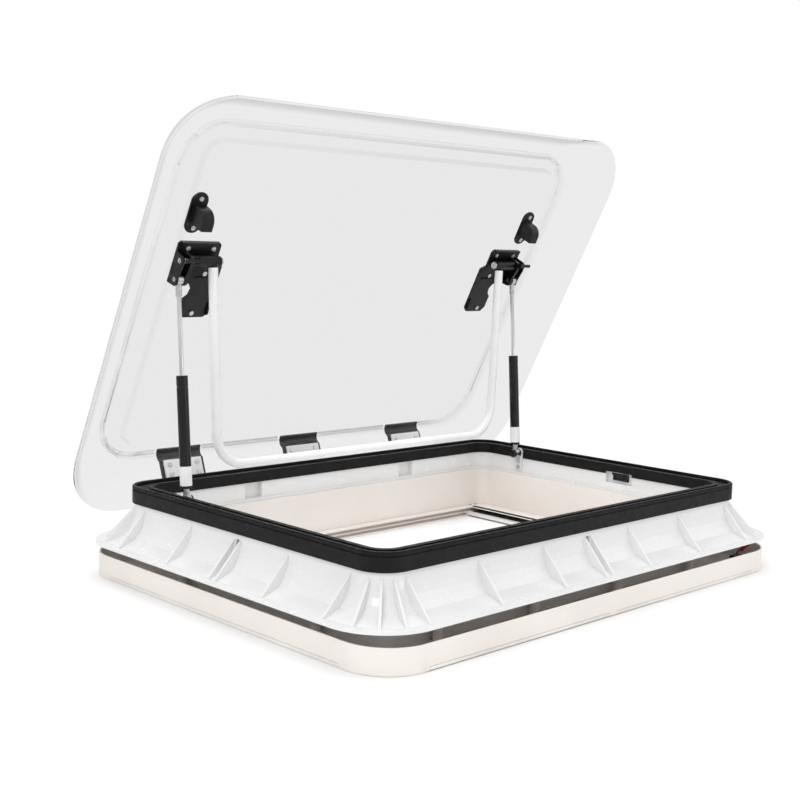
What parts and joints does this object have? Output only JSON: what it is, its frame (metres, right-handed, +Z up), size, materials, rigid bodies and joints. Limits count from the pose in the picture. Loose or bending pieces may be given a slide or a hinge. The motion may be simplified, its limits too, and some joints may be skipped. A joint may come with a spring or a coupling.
{
  "type": "roof window",
  "caption": "Hinged roof window for a camper: clear twin-wall lid on gas struts, with a bow handle, seal, clamped frames, blind and flyscreen.",
  "frame": {"origin": "middle of the roof cut-out, on the roof skin under the outer flange", "axes": "+X along the hinge side to the right, +Y from the front edge to the hinge side, +Z up out of the roof"},
  "size_m": [0.85, 0.6258, 0.6105],
  "materials": {
    "frame_white": "glossy white moulding",
    "inner_cream": "satin cream moulding",
    "seal_rubber": "soft matt black",
    "clear_acrylic": "clear polished acrylic",
    "black_plastic": "fine textured black",
    "leaf_grey": "satin dark grey",
    "hinge_white": "satin white",
    "steel": "brushed",
    "rod_chrome": "ground and polished",
    "strut_black": "black paint, satin",
    "label_white": "bare white film",
    "bow_white": "white powder coat",
    "light_white": "frosted cover",
    "lead_red": "red insulation",
    "blind_cloth": "folded blackout cloth",
    "screen_mesh": "folded dark mesh",
    "bar_white": "satin white",
    "brush_black": "short black pile"
  },
  "bodies": {
    "frame": {"outer_frame": "frame_white", "rubber_seal": "seal_rubber", "inner_frame": "inner_cream", "clamp_screws": "steel", "light_strips": "light_white", "light_terminal": "black_plastic", "light_lead": "lead_red", "hinge_base_left": "hinge_white", "hinge_base_middle": "hinge_white", "hinge_base_right": "hinge_white", "frame_screws": "steel", "hinge_pins": "steel", "strut_anchors": "hinge_white", "keeper_left": "black_plastic", "keeper_right": "black_plastic", "blind_cassette": "inner_cream", "screen_cassette": "inner_cream", "cassette_brushes": "brush_black", "guide_rail_front": "inner_cream", "guide_rail_back": "inner_cream", "cassette_screws": "steel", "blind_fabric": "blind_cloth", "screen_fabric": "screen_mesh"},
    "lid": {"outer_pane": "clear_acrylic", "inner_pane": "clear_acrylic", "pane_bond": "clear_acrylic", "hinge_arm_left": "hinge_white", "hinge_arm_middle": "hinge_white", "hinge_arm_right": "hinge_white", "hinge_leaf_left": "leaf_grey", "hinge_leaf_middle": "leaf_grey", "hinge_leaf_right": "leaf_grey", "hinge_leaf_screws": "steel", "bracket_left": "black_plastic", "bracket_right": "black_plastic", "bracket_pins": "steel", "guide_block_left": "black_plastic", "guide_block_right": "black_plastic", "lid_screws": "steel"},
    "bow": {"bow_handle": "bow_white", "bow_end_left": "black_plastic", "lock_cam_left": "black_plastic", "bow_end_right": "black_plastic", "lock_cam_right": "black_plastic"},
    "left_strut_rod": {"strut_rod_left": "rod_chrome", "strut_piston_left": "steel", "strut_upper_eye_left": "steel"},
    "left_strut_tube": {"strut_tube_left": "strut_black", "strut_label_left": "label_white", "strut_lower_eye_left": "steel", "strut_bolt_left": "strut_black"},
    "right_strut_rod": {"strut_rod_right": "rod_chrome", "strut_piston_right": "steel", "strut_upper_eye_right": "steel"},
    "right_strut_tube": {"strut_tube_right": "strut_black", "strut_label_right": "label_white", "strut_lower_eye_right": "steel", "strut_bolt_right": "strut_black"},
    "blind_pull": {"blind_bar": "bar_white"},
    "screen_pull": {"screen_bar": "bar_white"}
  },
  "joints": [
    {"name": "lid_hinge", "type": "hinge", "parent": "frame", "child": "lid", "pos_m": [0, 0.2904, 0.0416], "axis": [-1, 0, 0], "range_deg": [-63.26, 0]},
    {"name": "bow_swing", "type": "hinge", "parent": "lid", "child": "bow", "pos_m": [0, 0.15831, 0.37133], "axis": [-1, 0, 0], "range_deg": [-26.74, 63.26]},
    {"name": "left_strut_turn", "type": "hinge", "parent": "lid", "child": "left_strut_rod", "pos_m": [-0.323, 0.17024, 0.34767], "axis": [-1, 0, 0], "range_deg": [-29.41, 0]},
    {"name": "left_strut_slide", "type": "slide", "parent": "left_strut_rod", "child": "left_strut_tube", "axis": [0, 0.0787, 0.9969], "range_m": [0, 0.09746]},
    {"name": "right_strut_turn", "type": "hinge", "parent": "lid", "child": "right_strut_rod", "pos_m": [0.323, 0.17024, 0.34767], "axis": [-1, 0, 0], "range_deg": [-29.41, 0]},
    {"name": "right_strut_slide", "type": "slide", "parent": "right_strut_rod", "child": "right_strut_tube", "axis": [0, 0.0787, 0.9969], "range_m": [0, 0.09746]},
    {"name": "blind_slide", "type": "slide", "parent": "frame", "child": "blind_pull", "axis": [1, 0, 0], "range_m": [0, 0.574]},
    {"name": "screen_slide", "type": "slide", "parent": "frame", "child": "screen_pull", "axis": [-1, 0, 0], "range_m": [0, 0.574]}
  ],
  "couplings": [
    {"joint": "left_strut_turn", "follows": "lid_hinge", "ratio": 0.4647},
    {"joint": "left_strut_slide", "follows": "lid_hinge", "m_per_rad": -0.088257},
    {"joint": "right_strut_turn", "follows": "lid_hinge", "ratio": 0.4647},
    {"joint": "right_strut_slide", "follows": "lid_hinge", "m_per_rad": -0.088257}
  ]
}
